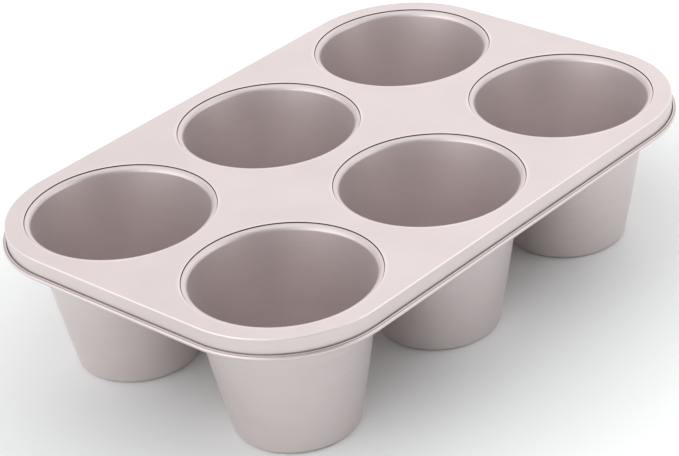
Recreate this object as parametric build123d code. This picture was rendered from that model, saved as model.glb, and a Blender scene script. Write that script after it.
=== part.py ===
import os
from math import acos, cos, degrees, radians, sin

from build123d import *

# Popover pan: six deep, tapered sheet cups hang in the recessed holes of a tray with a wired rim.
# +Z is up, the feet of the cups stand on z = 0, and the origin is under the middle of the tray.
# The longer side runs along X. Lengths are in millimetres and angles in degrees.

# Overall size and layout
overall_height = 76.2
web_between_cups = 10.2
tray_margin = 8.9
column_shares = {"left": -1, "middle": 0, "right": 1}
row_shares = {"front": -0.5, "rear": 0.5}

# Sheet of the two kinds of pressing, and the play between them
tray_sheet = 0.6
cup_sheet = 0.6
nest_clearance = 0.05

# Recess around each hole of the tray, which takes the flange of a cup
seat_radius = 44.8
seat_depth_to_flange = 0.5
seat_gap = 0.2
seat_edge_round = 0.3

# Mouth of a cup, rolled down over the collar of its hole, and the length of collar below the roll
flange_width = 0.1
collar_inner_round = 1.55
collar_length = 2.5

# Wall and foot of a cup. The draft grows from the mouth to the foot, so the wall is slightly convex
mouth_draft_angle = 8.6
draft_growth_angle = 3.2
foot_inner_round = 2.2

# Rim of the tray: a crease, an upright skirt, and a curl that turns outwards around a wire
crease_inner_round = 0.35
skirt_depth = 9.0
wire_radius = 0.6
wire_clearance = 0.1
curl_gap = 0.45

# Sizes that follow
right_angle = 90.0
full_turn = 360.0
cup_pitch = 2 * (seat_radius + tray_sheet) + web_between_cups
flange_top = overall_height - seat_depth_to_flange
flange_radius = seat_radius - seat_gap
collar_near = cup_sheet + nest_clearance
collar_far = collar_near + tray_sheet
mouth_roll = collar_inner_round + collar_far
foot_draft_angle = mouth_draft_angle + draft_growth_angle
corner_radius = seat_radius + tray_margin
crease_round = crease_inner_round + tray_sheet
plate_corner = corner_radius - crease_round
curl_round = wire_radius + wire_clearance
curl_outer_round = curl_round + tray_sheet
wire_height = overall_height - skirt_depth
column_span = cup_pitch * (max(column_shares.values()) - min(column_shares.values()))
row_span = cup_pitch * (max(row_shares.values()) - min(row_shares.values()))


# A sheet section is a walk in the plane of r and z. A place on it is (r, z, heading), and a step is
# (reach, turn): a straight of that length where turn is zero, otherwise a bend of that radius,
# to the left where turn is positive.
def step_end(place, step):
    r, z, heading = place
    reach, turn = step
    before = radians(heading)
    if turn == 0:
        return r + reach * cos(before), z + reach * sin(before), heading
    after = radians(heading + turn)
    side = reach if turn > 0 else -reach
    return r + side * (sin(after) - sin(before)), z - side * (cos(after) - cos(before)), heading + turn


def walk_end(place, steps):
    for step in steps:
        place = step_end(place, step)
    return place


# The point that lies to the left of a place, at the given distance
def beside(place, offset):
    r, z, heading = place
    return Vector(r - offset * sin(radians(heading)), 0, z + offset * cos(radians(heading)))


# The edges of a walk, moved to its left by the given distance
def walk_edges(place, steps, offset):
    edges = []
    for reach, turn in steps:
        there = step_end(place, (reach, turn))
        if turn == 0:
            edges.append(Edge.make_line(beside(place, offset), beside(there, offset)))
        else:
            half_way = beside(step_end(place, (reach, turn / 2)), offset)
            edges.append(Edge.make_three_point_arc(beside(place, offset), half_way, beside(there, offset)))
        place = there
    return edges


def polyline(points):
    return [Edge.make_line(begin, end) for begin, end in zip(points[:-1], points[1:])]


# The section of an even sheet that follows a walk, between two distances to its left
def sheet_section(place, steps, near, far):
    end = walk_end(place, steps)
    caps = [
        Edge.make_line(beside(place, near), beside(place, far)),
        Edge.make_line(beside(end, near), beside(end, far)),
    ]
    return Face(Wire(walk_edges(place, steps, near) + walk_edges(place, steps, far) + caps))


# Where the mouth's walk starts, at the outer edge of the flange's upper face, heading inwards
def flange_start():
    return flange_radius, flange_top, 2 * right_angle


# Steps from the flange's outer edge to the end of the roll, along the upper and inner face
def mouth_steps():
    return [(flange_width, 0), (mouth_roll, right_angle - mouth_draft_angle)]


# The wall is one large arc, whose radius brings the foot down to z = 0
def cup_steps():
    upper = mouth_steps()
    r, z, heading = walk_end(flange_start(), upper)
    foot_drop = foot_inner_round * (1 - sin(radians(foot_draft_angle)))
    wall_drop = z - cup_sheet - foot_drop
    wall_round = wall_drop / (sin(radians(foot_draft_angle)) - sin(radians(mouth_draft_angle)))
    lower = [(wall_round, -draft_growth_angle), (foot_inner_round, foot_draft_angle - right_angle)]
    floor_reach = walk_end((r, z, heading), lower)[0]
    return upper + lower + [(floor_reach, 0)]


def cup():
    return revolve(sheet_section(flange_start(), cup_steps(), 0, cup_sheet), Axis.Z, full_turn)


# The ring that forms one hole of the tray: an edge, a recess for the flange, and a collar that
# follows the cup's mouth from below
def seat_ring():
    start = flange_start()
    steps = mouth_steps() + [(collar_length, 0)]
    end = walk_end(start, steps)
    floor_height = flange_top - collar_near
    under_height = flange_top - collar_far
    outer = seat_radius + tray_sheet
    top_edge = Vector(seat_radius + seat_edge_round, 0, overall_height)
    top_arc_share = 1 - sin(radians(right_angle / 2))
    top_middle = Vector(
        seat_radius + seat_edge_round * top_arc_share,
        0,
        overall_height - seat_edge_round * top_arc_share,
    )
    wall_top = Vector(seat_radius, 0, overall_height - seat_edge_round)
    inner_run = polyline([wall_top, Vector(seat_radius, 0, floor_height), beside(start, collar_near)])
    outer_run = polyline([
        beside(start, collar_far),
        Vector(outer, 0, under_height),
        Vector(outer, 0, overall_height),
        top_edge,
    ])
    edges = [Edge.make_three_point_arc(top_edge, top_middle, wall_top)] + inner_run + outer_run
    edges += walk_edges(start, steps, collar_near) + walk_edges(start, steps, collar_far)
    edges += polyline([beside(end, collar_near), beside(end, collar_far)])
    return revolve(Face(Wire(edges)), Axis.Z, full_turn)


# Section of the rim, with r measured from the axis of a corner cup
def rim_section():
    skirt_straight = skirt_depth - crease_round
    curl_end = degrees(acos((curl_gap - curl_round) / curl_outer_round))
    steps = [(crease_round, -right_angle), (skirt_straight, 0), (curl_round, 2 * right_angle + curl_end)]
    return sheet_section((plate_corner, overall_height, 0), steps, -tray_sheet, 0)


def wire_section():
    centre = Plane(origin=(corner_radius + curl_round, 0, wire_height), z_dir=(0, 1, 0))
    return Face(Wire(Edge.make_circle(wire_radius, centre)))


# A section carried around the tray: a quarter turn at each corner cup, and a straight to the next
def around_tray(section):
    corner = revolve(section, Axis.Z, right_angle)
    half_x = column_span / 2
    half_y = row_span / 2
    centres = [(half_x, half_y), (-half_x, half_y), (-half_x, -half_y), (half_x, -half_y)]
    pieces = []
    for index, (x, y) in enumerate(centres):
        run = column_span if index % 2 == 0 else row_span
        straight = extrude(section, amount=run, dir=(0, 1, 0))
        pieces.append(Pos(x, y, 0) * Rot(0, 0, index * right_angle) * corner)
        pieces.append(Pos(x, y, 0) * Rot(0, 0, (index + 1) * right_angle) * straight)
    return pieces


def cup_places():
    places = {}
    for row, row_share in row_shares.items():
        for column, column_share in column_shares.items():
            places[f"cup_{row}_{column}"] = Pos(column_share * cup_pitch, row_share * cup_pitch, 0)
    return places


def tray():
    outline = RectangleRounded(column_span + 2 * plate_corner, row_span + 2 * plate_corner, plate_corner)
    hole = Circle(seat_radius + tray_sheet)
    for place in cup_places().values():
        outline -= place * hole
    plate = extrude(Pos(0, 0, overall_height - tray_sheet) * outline, amount=tray_sheet)
    ring = seat_ring()
    rings = [place * ring for place in cup_places().values()]
    return plate.fuse(*around_tray(rim_section()), *rings)


def rim_wire():
    first, *others = around_tray(wire_section())
    return first.fuse(*others)


os.makedirs("parts", exist_ok=True)
export_step(tray(), "parts/tray.step")
export_step(rim_wire(), "parts/rim_wire.step")
cup_form = cup()
for name, place in cup_places().items():
    export_step(place * cup_form, f"parts/{name}.step")
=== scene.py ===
import bpy
import numpy as np
from math import acos, atan2, cos, degrees, pi, radians, sin
from mathutils import Matrix, Vector


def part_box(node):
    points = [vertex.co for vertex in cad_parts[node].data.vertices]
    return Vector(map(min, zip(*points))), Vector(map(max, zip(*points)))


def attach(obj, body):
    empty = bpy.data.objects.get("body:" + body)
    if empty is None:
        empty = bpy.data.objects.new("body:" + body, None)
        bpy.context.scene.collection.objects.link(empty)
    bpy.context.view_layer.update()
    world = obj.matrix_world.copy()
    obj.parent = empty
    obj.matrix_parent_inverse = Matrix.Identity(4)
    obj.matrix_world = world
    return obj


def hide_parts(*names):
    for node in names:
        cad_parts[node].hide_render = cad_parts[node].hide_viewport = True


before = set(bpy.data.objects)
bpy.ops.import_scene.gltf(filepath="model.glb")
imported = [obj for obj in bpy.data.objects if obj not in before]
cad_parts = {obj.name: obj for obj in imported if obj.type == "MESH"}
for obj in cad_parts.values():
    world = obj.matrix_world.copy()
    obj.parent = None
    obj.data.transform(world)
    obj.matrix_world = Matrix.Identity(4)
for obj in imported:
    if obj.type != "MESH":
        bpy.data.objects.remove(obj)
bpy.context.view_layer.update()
print("frame loaded")

mm = 0.001
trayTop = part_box("tray")[1][2] / mm
cupNames = sorted(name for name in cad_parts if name.startswith("cup_"))


# Middle of a cup in plan, in millimetres, from the box of its CAD node
def cupMiddle(name):
    low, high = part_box(name)
    return round((low[0] + high[0]) / 2 / mm, 1), round((low[1] + high[1]) / 2 / mm, 1)


cupMiddles = {name: cupMiddle(name) for name in cupNames}


# Sections are walks in the plane of r and z. A place is (r, z, heading), and a step (reach, turn, count) is
# a straight of that length where turn is zero, else a bend of that radius in count parts, to the left
# where turn is positive. A point at distance d to the left is (r - d sin h, z + d cos h), h the heading.
def stepEnd(place, step):
    r, z, heading = place
    reach, turn, count = step
    h = radians(heading)
    if turn == 0:
        return r + reach * cos(h), z + reach * sin(h), heading
    after = radians(heading + turn)
    side = reach if turn > 0 else -reach
    return r + side * (sin(after) - sin(h)), z - side * (cos(after) - cos(h)), heading + turn


def walkEnd(place, steps):
    for step in steps:
        place = stepEnd(place, step)
    return place


# Straights in more than one part get points close to their ends, so that smooth shading stays flat
straightShares = np.array([0.0, 0.02, 0.1, 0.5, 0.9, 0.98, 1.0])


def walkLine(place, steps, offset):
    parts = []
    for step in steps:
        r, z, heading = place
        reach, turn, count = step
        if turn == 0:
            t = reach * (straightShares if count > 1 else straightShares[[0, -1]])
            h = np.full(len(t), radians(heading))
            line = np.column_stack([r + t * np.cos(h), z + t * np.sin(h)])
        else:
            h = np.radians(np.linspace(heading, heading + turn, count + 1))
            side = reach if turn > 0 else -reach
            away, down = side * (np.sin(h) - np.sin(h[0])), side * (np.cos(h) - np.cos(h[0]))
            line = np.column_stack([r + away, z - down])
        line += offset * np.column_stack([-np.sin(h), np.cos(h)])
        parts.append(line if not parts else line[1:])
        place = stepEnd(place, step)
    return np.concatenate(parts)


# Quarter round between two directions: centre + radius (cos a, sin a)
def arcLine(centre, radius, start, end, count):
    a = np.radians(np.linspace(start, end, count + 1))
    return np.array(centre) + radius * np.column_stack([np.cos(a), np.sin(a)])


# Points on each of the two rounds of a sheet's edge
capPoints = 5


# Sheet edge between a near and a far corner: a cap with two small rounds, bulging along "outward"
def sheetCap(near, far, outward, edgeRound):
    near, far, outward = np.array(near), np.array(far), np.array(outward)
    across = (far - near) / np.linalg.norm(far - near)
    a = np.radians(np.linspace(0, 90, capPoints))[:, None]
    first = near + edgeRound * (outward * (np.sin(a) - 1) + across * (1 - np.cos(a)))
    second = far + edgeRound * (outward * (np.cos(a) - 1) - across * (1 - np.sin(a)))
    return np.concatenate([first, second])


# Quads between neighbouring rows and columns of a grid whose points are numbered row by row
def gridQuads(rowCount, columnCount, rowsKept=None, closed=False):
    index = np.arange(rowCount * columnCount).reshape(rowCount, columnCount)
    nextRow = np.roll(index, -1, axis=0)
    last = rowCount if closed else rowCount - 1
    quads = np.stack([index[:, :-1], nextRow[:, :-1], nextRow[:, 1:], index[:, 1:]], axis=-1)[:last]
    if rowsKept is not None:
        quads = quads[rowsKept[:last]]
    return quads.reshape(-1, 4)


# Points closer than this are one point
weldStep = 1e-6


# Joins points that meet, drops quads' doubled corners, and keeps the marks: drawn is a place for the
# draw lines, and the other two marks are shares of painted shade in recesses and gaps and of painted
# highlight on edges
def makePiece(name, points, quads, marks, material, nodes):
    keys = np.round(points * mm / weldStep).astype(np.int64)
    used = np.unique(quads)
    slotOf = np.full(len(points), -1)
    _, first, back = np.unique(keys[used], axis=0, return_index=True, return_inverse=True)
    slotOf[used] = back.reshape(-1)
    quads = slotOf[quads]
    points = points[used][first] * mm
    same = quads == np.roll(quads, -1, axis=1)
    whole = quads[~same.any(axis=1)]
    once = same.sum(axis=1) == 1
    triangles = [np.delete(quads[same[:, k] & once], k, axis=1) for k in range(4)]
    mesh = bpy.data.meshes.new(name)
    mesh.from_pydata(points.tolist(), [], whole.tolist() + np.concatenate(triangles).tolist())
    for mark, values in marks.items():
        kept = values[used][first]
        if kept.ndim == 2:
            places = mesh.attributes.new(mark, "FLOAT_VECTOR", "POINT")
            places.data.foreach_set("vector", (kept * mm).reshape(-1))
        else:
            mesh.attributes.new(mark, "FLOAT", "POINT").data.foreach_set("value", kept)
    mesh.shade_smooth()
    mesh.materials.append(material)
    piece = bpy.data.objects.new(name, mesh)
    bpy.context.scene.collection.objects.link(piece)
    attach(piece, "root")
    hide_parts(*nodes)
    return piece


# A socket that does sums: an expression on it adds the Math nodes
class Shade:
    def __init__(self, tree, socket=None):
        self.tree = tree
        self.socket = socket

    # Adds a node: settings are set first, then inputs are linked or given their values
    def node(self, kind, settings=None, inputs=None, output=0):
        item = self.tree.nodes.new(kind)
        for key, value in (settings or {}).items():
            setattr(item, key, value)
        for key, value in (inputs or {}).items():
            if isinstance(value, Shade):
                self.tree.links.new(value.socket, item.inputs[key])
            else:
                item.inputs[key].default_value = value
        return Shade(self.tree, item.outputs[output] if item.outputs else None)

    def calc(self, operation, a, b):
        return self.node("ShaderNodeMath", {"operation": operation}, {0: a, 1: b})

    def __add__(self, other):
        return self.calc("ADD", self, other)

    def __radd__(self, other):
        return self.calc("ADD", other, self)

    def __sub__(self, other):
        return self.calc("SUBTRACT", self, other)

    def __rsub__(self, other):
        return self.calc("SUBTRACT", other, self)

    def __mul__(self, other):
        return self.calc("MULTIPLY", self, other)

    def __rmul__(self, other):
        return self.calc("MULTIPLY", other, self)

    def __pow__(self, other):
        return self.calc("POWER", self, other)

    def atLeast(self, other):
        return self.calc("MAXIMUM", self, other)


# Empties the node tree of a material or world, and gives its Shade to add nodes with
def emptyTree(owner):
    owner.use_nodes = True
    owner.node_tree.nodes.clear()
    return Shade(owner.node_tree)


# Middle value of a noise texture
noiseMiddle = 0.5

coating = {
    "tint": (0.73, 0.654, 0.652, 1.0),
    "deepTint": (0.65, 0.577, 0.575, 1.0),
    # Painted shade and painted highlight: the dark tint below darkens the recesses, the gap at the cup's
    # flange and the curl of the rim, and the light tint after it lightens the hole's lip and the crease
    "paintedShadeTint": (0.08, 0.045, 0.045, 1.0),
    "paintedHighlightTint": (0.84, 0.78, 0.775, 1.0),
    "metalShare": 0.7,
    "roughness": 0.38,
    "roughnessPlay": 0.05,
    "fleckScale": 2600.0,
    "fleckDetail": 2.0,
    "cloudScale": 28.0,
    "cloudDetail": 3.0,
    "cloudFloor": 0.3,
    "drawScale": (30.0, 30.0, 550.0),
    "drawDetail": 3.0,
    "drawPlay": 2.4,
    "drawRoughness": 0.06,
    "fleckHeight": 0.0000022,
    "drawHeight": 0.0000045,
}


def noise(s, vector, scale, detail):
    return s.node("ShaderNodeTexNoise", inputs={"Vector": vector, "Scale": scale, "Detail": detail})


# The mix node's colour is its third result
def mixColours(s, share, first, second):
    return s.node("ShaderNodeMix", {"data_type": "RGBA"}, {"Factor": share, "A": first, "B": second}, 2)


# Satin metallic coating. Fine flecks make the bump, slow clouds move colour and roughness a little,
# and draw lines follow the pressing: they are noise that is long around the piece and short along it.
# The lines' part in the colour is their share times how far a cloud stands above its floor.
def coatingMaterial(name, drawShare):
    material = bpy.data.materials.new(name)
    s = emptyTree(material)
    place = s.node("ShaderNodeTexCoord", output="Object")
    drawn = s.node("ShaderNodeAttribute", {"attribute_name": "drawn"}, output="Vector")
    stretch = s.node("ShaderNodeMapping", inputs={"Vector": drawn, "Scale": coating["drawScale"]})
    cloud = noise(s, place, coating["cloudScale"], coating["cloudDetail"])
    fleck = noise(s, place, coating["fleckScale"], coating["fleckDetail"])
    lines = noise(s, stretch, 1.0, coating["drawDetail"])
    clouded = cloud - coating["cloudFloor"]
    depth = cloud + (lines - noiseMiddle) * clouded * (coating["drawPlay"] * drawShare)
    colour = mixColours(s, depth, coating["tint"], coating["deepTint"])
    # Painted highlight on the lip and crease, then painted shade in the recesses, gaps and curl, each mixed
    # in by its share
    for mark in ("paintedHighlight", "paintedShade"):
        share = s.node("ShaderNodeAttribute", {"attribute_name": mark}, output="Fac")
        colour = mixColours(s, share, colour, coating[mark + "Tint"])
    roughness = coating["roughness"] + (cloud - noiseMiddle) * coating["roughnessPlay"]
    roughness = roughness + (lines - noiseMiddle) * (coating["drawRoughness"] * drawShare)
    height = fleck * coating["fleckHeight"] + lines * (coating["drawHeight"] * drawShare)
    relief = {"Height": height, "Distance": 1.0, "Strength": 1.0}
    finish = {
        "Metallic": coating["metalShare"],
        "Base Color": colour,
        "Roughness": roughness,
        "Normal": s.node("ShaderNodeBump", inputs=relief, output="Normal"),
    }
    surface = s.node("ShaderNodeBsdfPrincipled", inputs=finish)
    s.node("ShaderNodeOutputMaterial", inputs={"Surface": surface})
    return material


# The tray's sheet is hardly drawn, so its lines are faint
trayCoating = coatingMaterial("trayCoating", 0.15)
cupCoating = coatingMaterial("cupCoating", 1.0)
print("materials made")

cups = {
    "sheet": 0.6,
    "seatDepth": 0.5,
    "flangeRadius": 44.6,
    "flangeWidth": 0.1,
    "mouthRoll": 2.8,
    "draftAtMouth": 8.6,
    "draftAtFoot": 11.8,
    "footRound": 2.2,
    "clearance": 0.05,
    "edgeRound": 0.08,
    "rollParts": 24,
    "wallParts": 60,
    "footParts": 12,
    "around": 320,
    "drawnRadius": 38.0,
    "drawnSpacing": 200.0,
}

flangeTop = trayTop - cups["seatDepth"]
mouthStart = (cups["flangeRadius"], flangeTop, 180.0)
mouthSteps = [
    (cups["flangeWidth"], 0, 1),
    (cups["mouthRoll"], 90 - cups["draftAtMouth"], cups["rollParts"]),
]


# Section of a cup, from the axis under the foot, up the outside, over the flange and down the inside,
# with its share of painted shade, which darkens the flange's outer edge in the gap to the tray. The wall is
# one arc, whose radius is its drop over the difference of the sines of its two drafts.
def cupSection():
    topDraft, footDraft = radians(cups["draftAtMouth"]), radians(cups["draftAtFoot"])
    place = walkEnd(mouthStart, mouthSteps)
    wallDrop = place[1] - cups["sheet"] - cups["footRound"] * (1 - sin(footDraft))
    wallRound = wallDrop / (sin(footDraft) - sin(topDraft))
    lower = [
        (wallRound, cups["draftAtMouth"] - cups["draftAtFoot"], cups["wallParts"]),
        (cups["footRound"], cups["draftAtFoot"] - 90, cups["footParts"]),
    ]
    lower.append((walkEnd(place, lower)[0], 0, 2))
    inside = walkLine(mouthStart, mouthSteps + lower, 0)
    outside = walkLine(mouthStart, mouthSteps + lower, cups["sheet"])[::-1]
    cap = sheetCap(outside[-1], inside[0], (1, 0), cups["edgeRound"])
    # Painted shade on the flange's outer edge, down in the gap to the tray's recess
    paintedShade = np.concatenate([
        np.zeros(len(outside) - 1),
        np.interp(np.arange(len(cap)), [0, capPoints - 1, capPoints + 1], [1, 1, 0]),
        np.zeros(len(inside) - 1),
    ])
    return np.concatenate([outside[:-1], cap, inside[1:]]), paintedShade


# Turns a section about an upright axis: (x, y, z) = (cx + r cos a, cy + r sin a, z). The draw lines
# read (R cos a, R sin a, way along the section), with one R for the whole piece and a shift for each cup.
def buildCups():
    section, paintedShade = cupSection()
    r, z = np.maximum(section[:, 0], 0), section[:, 1]
    way = np.concatenate([[0], np.cumsum(np.hypot(*np.diff(section, axis=0).T))])
    a = np.linspace(0, 2 * pi, cups["around"], endpoint=False)
    for index, (name, (cx, cy)) in enumerate(cupMiddles.items()):
        x = cx + r[None, :] * np.cos(a)[:, None]
        y = cy + r[None, :] * np.sin(a)[:, None]
        points = np.stack([x, y, np.broadcast_to(z, x.shape)], axis=-1).reshape(-1, 3)
        reach, shift = cups["drawnRadius"], cups["drawnSpacing"] * index
        drawn = np.stack([
            np.broadcast_to(reach * np.cos(a)[:, None] + shift, x.shape),
            np.broadcast_to(reach * np.sin(a)[:, None], x.shape),
            np.broadcast_to(way, x.shape),
        ], axis=-1).reshape(-1, 3)
        quads = gridQuads(len(a), len(r), closed=True)
        marks = {"drawn": drawn, "paintedShade": np.tile(paintedShade, len(a))}
        makePiece(name + "_coated", points, quads, marks, cupCoating, [name])
    print("cups made:", len(cupMiddles))


buildCups()

# Lengths are in millimetres, seamTurn and seamSpread in degrees; shares, painted highlights, parts and
# points are numbers
tray = {
    "sheet": 0.6,
    "plateShares": (1.0, 0.995, 0.93, 0.5, 0.07, 0.005),
    "perEighth": 15,
    "seatRadius": 44.8,
    "edgeRound": 0.3,
    "edgeParts": 8,
    "edgePaintedShade": (0.375, 0.625),
    "lipShare": 0.5,
    "lipPoints": 4,
    "lipHighlight": 0.6,
    "floorRound": 0.12,
    "floorParts": 3,
    "rollParts": 8,
    "collarLength": 2.5,
    "capRound": 0.1,
    "turnParts": 4,
    "underStep": 0.05,
    "margin": 8.9,
    "creaseRound": 0.72,
    "creaseParts": 10,
    "creaseHighlight": 1.0,
    "skirtDepth": 9.0,
    "curlRound": 0.7,
    "curlGap": 0.45,
    "curlParts": (24, 18, 4),
    "seamTurn": 235.0,
    "seamSpread": 6.0,
    "seamDepth": 0.14,
    "seamShade": 0.9,
}


# Section of one hole of the tray, from the plate's upper face inwards, down into the recess, along the
# collar under the cup's mouth, and back below to the plate's under face, with its shares of painted shade
# down the edge round and on the recess floor, and of painted highlight on the lip
def seatSection():
    near = cups["sheet"] + cups["clearance"]
    far = near + tray["sheet"]
    floor, under = flangeTop - near, flangeTop - far
    seat, outer = tray["seatRadius"], tray["seatRadius"] + tray["sheet"]
    topRound, lowRound = tray["edgeRound"], tray["floorRound"]
    edge = arcLine((seat + topRound, trayTop - topRound), topRound, 90, 180, tray["edgeParts"])
    foot = arcLine((seat - lowRound, floor + lowRound), lowRound, 0, -90, tray["floorParts"])
    flange, roll = mouthSteps
    steps = [flange, (*roll[:2], tray["rollParts"]), (tray["collarLength"], 0, 2)]
    nearLine = walkLine(mouthStart, steps, near)
    farLine = walkLine(mouthStart, steps, far)
    heading = radians(walkEnd(mouthStart, steps)[2])
    cap = sheetCap(nearLine[-1], farLine[-1], (cos(heading), sin(heading)), tray["capRound"])
    turn = arcLine((outer - topRound, under + topRound), topRound, -90, 0, tray["turnParts"])
    plateUnder = trayTop - tray["sheet"]
    wall = np.array([[outer, plateUnder - tray["underStep"]], [outer, plateUnder]])
    hidden = len(nearLine) + len(cap) + len(farLine) + len(turn) + len(wall) - 3
    share = np.linspace(0, 1, len(edge))
    # Painted shade down the lower half of the edge round and over the recess floor, and a painted highlight
    # on the lip's upper half
    dark = np.interp(share, tray["edgePaintedShade"], (0, 1))
    lip = np.sin(pi * np.minimum(share / tray["lipShare"], 1)) ** 2
    lip[:tray["lipPoints"]] = np.maximum(lip[:tray["lipPoints"]], tray["lipHighlight"])
    paintedShade = np.concatenate([dark, np.ones(len(foot) + 1), np.zeros(hidden)])
    paintedHighlight = np.concatenate([lip, np.zeros(len(foot) + 1 + hidden)])
    return np.concatenate([edge, foot, nearLine[:-1], cap, farLine[::-1][1:], turn, wall]), paintedShade, paintedHighlight


# Directions around one cup, with the distance to its cell's edge and the outward normal there. A cell
# reaches half way to its neighbours, and to the crease where it has none; a corner cell ends in an arc.
def cellEdge(reaches, outers):
    a, rho, normal, isRim = [], [], [], []
    count = tray["perEighth"]
    for quarter in range(4):
        ea, eb = reaches[quarter], reaches[(quarter + 1) % 4]
        oa, ob = outers[quarter], outers[(quarter + 1) % 4]
        if oa and ob:
            t = np.linspace(0, pi / 2, 2 * count, endpoint=False)
            local = np.full(len(t), ea)
            n = np.column_stack([np.cos(t), np.sin(t)])
            rim = np.ones(len(t), bool)
        else:
            corner = atan2(eb, ea)
            t = np.concatenate([
                np.linspace(0, corner, count, endpoint=False),
                np.linspace(corner, pi / 2, count, endpoint=False),
            ])
            onFirst = np.arange(len(t)) < count
            local = np.where(onFirst, ea / np.cos(t), eb / np.sin(np.maximum(t, corner / 2)))
            atCorner = np.arange(len(t)) == count
            useFirst = (onFirst | (atCorner & oa))[:, None]
            n = np.where(useFirst, [[1.0, 0.0]], [[0.0, 1.0]])
            rim = np.where(onFirst, oa, ob)
        turn = quarter * pi / 2
        spin = np.array([[cos(turn), sin(turn)], [-sin(turn), cos(turn)]])
        a.append(t + turn)
        rho.append(local)
        normal.append(n @ spin)
        isRim.append(rim)
    return np.concatenate(a), np.concatenate(rho), np.concatenate(normal), np.concatenate(isRim)


# Section of the rim, as distance out from the plate's edge and height: outer face, curl and inner face,
# with its painted shade and painted highlight shares. The curl turns in three stretches, the middle one in
# small parts for the thin line along the bead, whose depth falls off as a bell curve: e to the power of
# minus (turn / spread) squared.
def rimSection():
    bead = tray["curlRound"] + tray["sheet"]
    curlTurn = 180 + degrees(acos((tray["curlGap"] - tray["curlRound"]) / bead))
    seamHalf = 3 * tray["seamSpread"]
    bounds = [0, tray["seamTurn"] - seamHalf, tray["seamTurn"] + seamHalf, curlTurn]
    stretches = list(zip(bounds[:-1], bounds[1:], tray["curlParts"]))
    steps = [
        (tray["creaseRound"], -90, tray["creaseParts"]),
        (tray["skirtDepth"] - tray["creaseRound"], 0, 2),
    ]
    steps += [(tray["curlRound"], end - begin, parts) for begin, end, parts in stretches]
    start = (0, trayTop, 0)
    outerLine = walkLine(start, steps, 0)
    innerLine = walkLine(start, steps, -tray["sheet"])
    heading = radians(walkEnd(start, steps)[2])
    cap = sheetCap(outerLine[-1], innerLine[-1], (cos(heading), sin(heading)), tray["capRound"])
    turned = [np.linspace(begin, end, parts, endpoint=False) for begin, end, parts in stretches]
    turned = np.concatenate(turned + [[curlTurn]])
    count = len(turned) - 1
    seam = np.exp(-((turned - tray["seamTurn"]) / tray["seamSpread"]) ** 2)
    left = np.radians(turned)[:, None] + [0, -pi / 2]
    innerLine[-count - 1:] += tray["seamDepth"] * seam[:, None] * np.cos(left)
    # Painted shade inside the end of the curl and along the seam line, and a painted highlight along the
    # crease
    outerPaintedShade = np.concatenate([np.zeros(len(outerLine) - count), np.ones(count - 1)])
    innerPaintedShade = np.concatenate([np.zeros(len(innerLine) - count - 1), tray["seamShade"] * seam])
    paintedShade = np.concatenate([outerPaintedShade, np.zeros(len(cap)), innerPaintedShade[::-1][1:]])
    creaseLine = np.linspace(0, pi, tray["creaseParts"] + 1)
    paintedHighlight = np.zeros(len(paintedShade))
    paintedHighlight[:len(creaseLine)] = tray["creaseHighlight"] * np.sin(creaseLine) ** 2
    return np.concatenate([outerLine[:-1], cap, innerLine[::-1][1:]]), paintedShade, paintedHighlight


# Joins a grid of places in plan with the height of each column
def withHeights(inPlan, heights):
    columns = np.broadcast_to(heights[None, :, None], inPlan.shape[:2] + (1,))
    return np.concatenate([inPlan, columns], axis=2).reshape(-1, 3)


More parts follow.
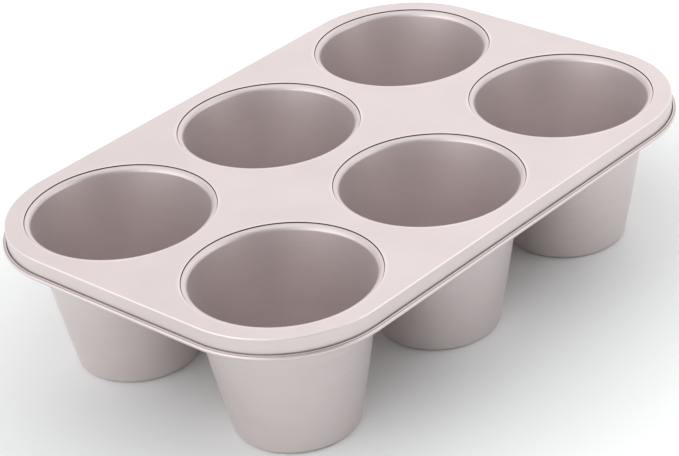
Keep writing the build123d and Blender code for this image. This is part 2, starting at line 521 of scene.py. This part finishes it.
# The tray is one welded sheet: around each cup a web from the edge of its cell to the hole and back below,
# and along the outer cells the rim
def buildTray():
    seat, seatPaintedShade, seatPaintedHighlight = seatSection()
    rim, rimPaintedShade, rimPaintedHighlight = rimSection()
    plateShares = np.array(tray["plateShares"])
    xs = sorted({x for x, y in cupMiddles.values()})
    ys = sorted({y for x, y in cupMiddles.values()})
    half = (xs[1] - xs[0]) / 2
    edge = tray["seatRadius"] + tray["margin"] - tray["creaseRound"]
    plain = np.zeros(len(plateShares))
    webPaintedShade = np.concatenate([plain, seatPaintedShade, plain])
    webPaintedHighlight = np.concatenate([plain, seatPaintedHighlight, plain])
    # The plate's last point before the hole takes the lip's painted highlight
    webPaintedHighlight[len(plain) - 1] = tray["lipHighlight"]
    allPoints, allQuads, allPaintedShade, allPaintedHighlight = [], [], [], []
    count = 0
    for cx, cy in cupMiddles.values():
        outers = [cx == xs[-1], cy == ys[-1], cx == xs[0], cy == ys[0]]
        a, rho, normal, isRim = cellEdge([edge if o else half for o in outers], outers)
        ahead = np.column_stack([np.cos(a), np.sin(a)])
        topShare = rho[:, None] * plateShares + seat[0, 0] * (1 - plateShares)
        lowShare = rho[:, None] * plateShares[::-1] + seat[-1, 0] * (1 - plateShares[::-1])
        r = np.concatenate([topShare, np.broadcast_to(seat[:, 0], (len(a), len(seat))), lowShare], axis=1)
        z = np.concatenate([
            np.full(len(plateShares), trayTop),
            seat[:, 1],
            np.full(len(plateShares), trayTop - tray["sheet"]),
        ])
        inPlan = np.array([cx, cy]) + r[:, :, None] * ahead[:, None, :]
        allPoints.append(withHeights(inPlan, z))
        allPaintedShade += [np.tile(webPaintedShade, len(a)), np.tile(rimPaintedShade, len(a))]
        allPaintedHighlight += [np.tile(webPaintedHighlight, len(a)), np.tile(rimPaintedHighlight, len(a))]
        allQuads.append(count + gridQuads(len(a), len(z), closed=True))
        count += len(a) * len(z)
        start = np.array([cx, cy]) + rho[:, None] * ahead
        inPlan = start[:, None, :] + rim[None, :, :1] * normal[:, None, :]
        allPoints.append(withHeights(inPlan, rim[:, 1]))
        allQuads.append(count + gridQuads(len(a), len(rim), rowsKept=isRim, closed=True)[:, ::-1])
        count += len(a) * len(rim)
    points, quads = np.concatenate(allPoints), np.concatenate(allQuads)
    marks = {"drawn": points, "paintedShade": np.concatenate(allPaintedShade), "paintedHighlight": np.concatenate(allPaintedHighlight)}
    piece = makePiece("tray_coated", points, quads, marks, trayCoating, ["tray"])
    print("tray made:", len(piece.data.polygons), "faces")


buildTray()

wireSteel = {
    "tint": (0.55, 0.55, 0.56, 1.0),
    "roughness": 0.32,
    "roughnessPlay": 0.2,
    "lineScale": 900.0,
    "lineDetail": 2.0,
}


# Drawn steel with fine marks, on the wire's own solid
def wireMaterial():
    material = bpy.data.materials.new("wireSteel")
    s = emptyTree(material)
    place = s.node("ShaderNodeTexCoord", output="Object")
    lines = noise(s, place, wireSteel["lineScale"], wireSteel["lineDetail"])
    roughness = wireSteel["roughness"] + (lines - noiseMiddle) * wireSteel["roughnessPlay"]
    finish = {"Metallic": 1.0, "Base Color": wireSteel["tint"], "Roughness": roughness}
    surface = s.node("ShaderNodeBsdfPrincipled", inputs=finish)
    s.node("ShaderNodeOutputMaterial", inputs={"Surface": surface})
    return material


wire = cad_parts["rim_wire"]
wire.data.materials.clear()
wire.data.materials.append(wireMaterial())

view = {
    "azimuth": -46.18,
    "elevation": 29.607,
    "roll": -5.35,
    "distance": 1115.41,
    "target": (-57.473, -45.713),
    "focalPixels": 2489.871,
    "imageWidth": 679,
    "sensor": 36.0,
    "clip": (0.05, 20.0),
}


# Camera on a sphere around the target; roll turns its right and up axes about the line of sight
def buildCamera():
    az, el, roll = radians(view["azimuth"]), radians(view["elevation"]), radians(view["roll"])
    back = Vector((sin(az) * cos(el), -cos(az) * cos(el), sin(el)))
    target = Vector((*view["target"], trayTop))
    right = (-back).cross(Vector((0, 0, 1))).normalized()
    up = right.cross(-back)
    rolledRight = right * cos(roll) + up * sin(roll)
    rolledUp = up * cos(roll) - right * sin(roll)
    data = bpy.data.cameras.new("camera")
    data.sensor_fit = "HORIZONTAL"
    data.sensor_width = view["sensor"]
    data.lens = view["focalPixels"] * view["sensor"] / view["imageWidth"]
    data.clip_start, data.clip_end = view["clip"]
    camera = bpy.data.objects.new("camera", data)
    turn = Matrix((rolledRight, rolledUp, back)).transposed().to_4x4()
    camera.matrix_world = Matrix.Translation((target + back * view["distance"]) * mm) @ turn
    bpy.context.scene.collection.objects.link(camera)
    bpy.context.scene.camera = camera


buildCamera()

studio = {
    "floorSize": 14.0,
    "floorColour": (0.895, 0.91, 0.91, 1.0),
    "floorGlow": 0.2,
    # Inside this reach the floor does not glow: a painted shadow around the pan
    "paintedShadowReach": (0.15, 0.36),
    "panShape": (1.0, 1.2),
    "horizonBand": (0.2, 0.07),
}

# Soft parts of the sky: azimuth and elevation seen from the pan, sharpness, strength, and warmth, which
# is the share of red
skyParts = {
    "overhead": (0.0, 90.0, 6.0, 0.93, 1.0),
    "frontHigh": (-46.0, 50.0, 8.0, 0.64, 0.96),
    "left": (-121.0, 30.0, 4.0, 1.5, 0.98),
    "leftLow": (-121.0, 8.0, 16.0, 0.47, 1.0),
    "frontLeftLow": (-85.0, 8.0, 16.0, 1.75, 0.97),
    "rightLow": (29.0, 8.0, 16.0, 1.1, 0.97),
    "backLow": (134.0, 25.0, 8.0, 1.06, 1.03),
    "backHigh": (134.0, 60.0, 10.0, 0.36, 1.0),
    "backRight": (84.0, 30.0, 8.0, 1.2, 1.03),
    "backLeft": (-176.0, 30.0, 8.0, 0.45, 1.1),
}


# Unit vector from the pan towards a place in the studio
def studioWay(azimuth, elevation):
    az, el = radians(azimuth), radians(elevation)
    return sin(az) * cos(el), -cos(az) * cos(el), sin(el)


# Rays that show the background: 1 for the camera's, and for those mirrored or let through
def seenRays(s):
    return (
        s.node("ShaderNodeLightPath", output="Is Camera Ray")
        + s.node("ShaderNodeLightPath", output="Is Glossy Ray")
        + s.node("ShaderNodeLightPath", output="Is Transmission Ray")
    )


# Smooth step from 0 at one value to 1 at the other
def smoothStep(s, value, begin, end):
    settings = {"interpolation_type": "SMOOTHSTEP"}
    return s.node("ShaderNodeMapRange", settings, {"Value": value, 1: begin, 2: end})


# Matt white floor that keeps the pan's shadow. Away from the pan it glows a little for the rays that show
# the background, so that it runs into the white behind it. Near the pan the glow is left out, which paints
# shadow around the pan beyond the one it casts.
def buildFloor():
    half = studio["floorSize"] / 2
    corners = [(-half, -half, 0), (half, -half, 0), (half, half, 0), (-half, half, 0)]
    mesh = bpy.data.meshes.new("floor")
    mesh.from_pydata(corners, [], [(0, 1, 2, 3)])
    floor = bpy.data.objects.new("floor", mesh)
    bpy.context.scene.collection.objects.link(floor)
    material = bpy.data.materials.new("floorWhite")
    s = emptyTree(material)
    matt = s.node("ShaderNodeBsdfDiffuse", inputs={"Color": studio["floorColour"]})
    place = s.node("ShaderNodeTexCoord", output="Object")
    spread = s.node("ShaderNodeMapping", inputs={"Vector": place, "Scale": (*studio["panShape"], 1)})
    reach = s.node("ShaderNodeVectorMath", {"operation": "LENGTH"}, {0: spread}, "Value")
    # No glow near the pan: painted shadow on top of the cast one
    clear = smoothStep(s, reach, *studio["paintedShadowReach"])
    glow = s.node("ShaderNodeEmission", inputs={"Strength": seenRays(s) * clear * studio["floorGlow"]})
    both = s.node("ShaderNodeAddShader", inputs={0: matt, 1: glow})
    s.node("ShaderNodeOutputMaterial", inputs={"Surface": both})
    mesh.materials.append(material)


# The world lights the pan with the soft parts of the sky: each is its strength times the cosine of the
# angle from its middle to the power of its sharpness. A white band at the horizon is there for the rays
# that show the background alone.
def buildWorld():
    world = bpy.data.worlds.new("studio")
    bpy.context.scene.world = world
    s = emptyTree(world)
    way = s.node("ShaderNodeTexCoord", output="Generated")
    upward = s.node("ShaderNodeSeparateXYZ", inputs={"Vector": way}, output="Z")
    plain = seenRays(s) * smoothStep(s, upward, *studio["horizonBand"])
    red = plain
    for azimuth, elevation, sharpness, brightness, warmth in skyParts.values():
        towards = studioWay(azimuth, elevation)
        facing = s.node("ShaderNodeVectorMath", {"operation": "DOT_PRODUCT"}, {0: way, 1: towards}, "Value")
        part = facing.atLeast(0.0) ** sharpness * brightness
        plain = plain + part
        red = red + part * warmth
    colour = s.node("ShaderNodeCombineXYZ", inputs={"X": red, "Y": plain, "Z": plain})
    glow = s.node("ShaderNodeBackground", inputs={"Color": colour, "Strength": 1.0})
    s.node("ShaderNodeOutputWorld", inputs={"Surface": glow})


# Soft boxes: azimuth, elevation and distance of the lamp seen from the pan, its side, watts and colour
softBoxes = {
    "rightBox": (30.0, 40.0, 0.9, 0.8, 1.7, (0.97, 1.0, 1.0)),
}


def buildLamps():
    for name, (azimuth, elevation, distance, side, watts, colour) in softBoxes.items():
        away = Vector(studioWay(azimuth, elevation))
        data = bpy.data.lights.new(name, "AREA")
        data.shape = "SQUARE"
        data.size = side
        data.energy = watts
        data.color = colour
        lamp = bpy.data.objects.new(name, data)
        lamp.location = away * distance
        lamp.rotation_euler = away.to_track_quat("Z", "Y").to_euler()
        bpy.context.scene.collection.objects.link(lamp)


buildFloor()
buildWorld()
buildLamps()
bpy.context.scene.view_settings.view_transform = "Standard"
print("studio made")
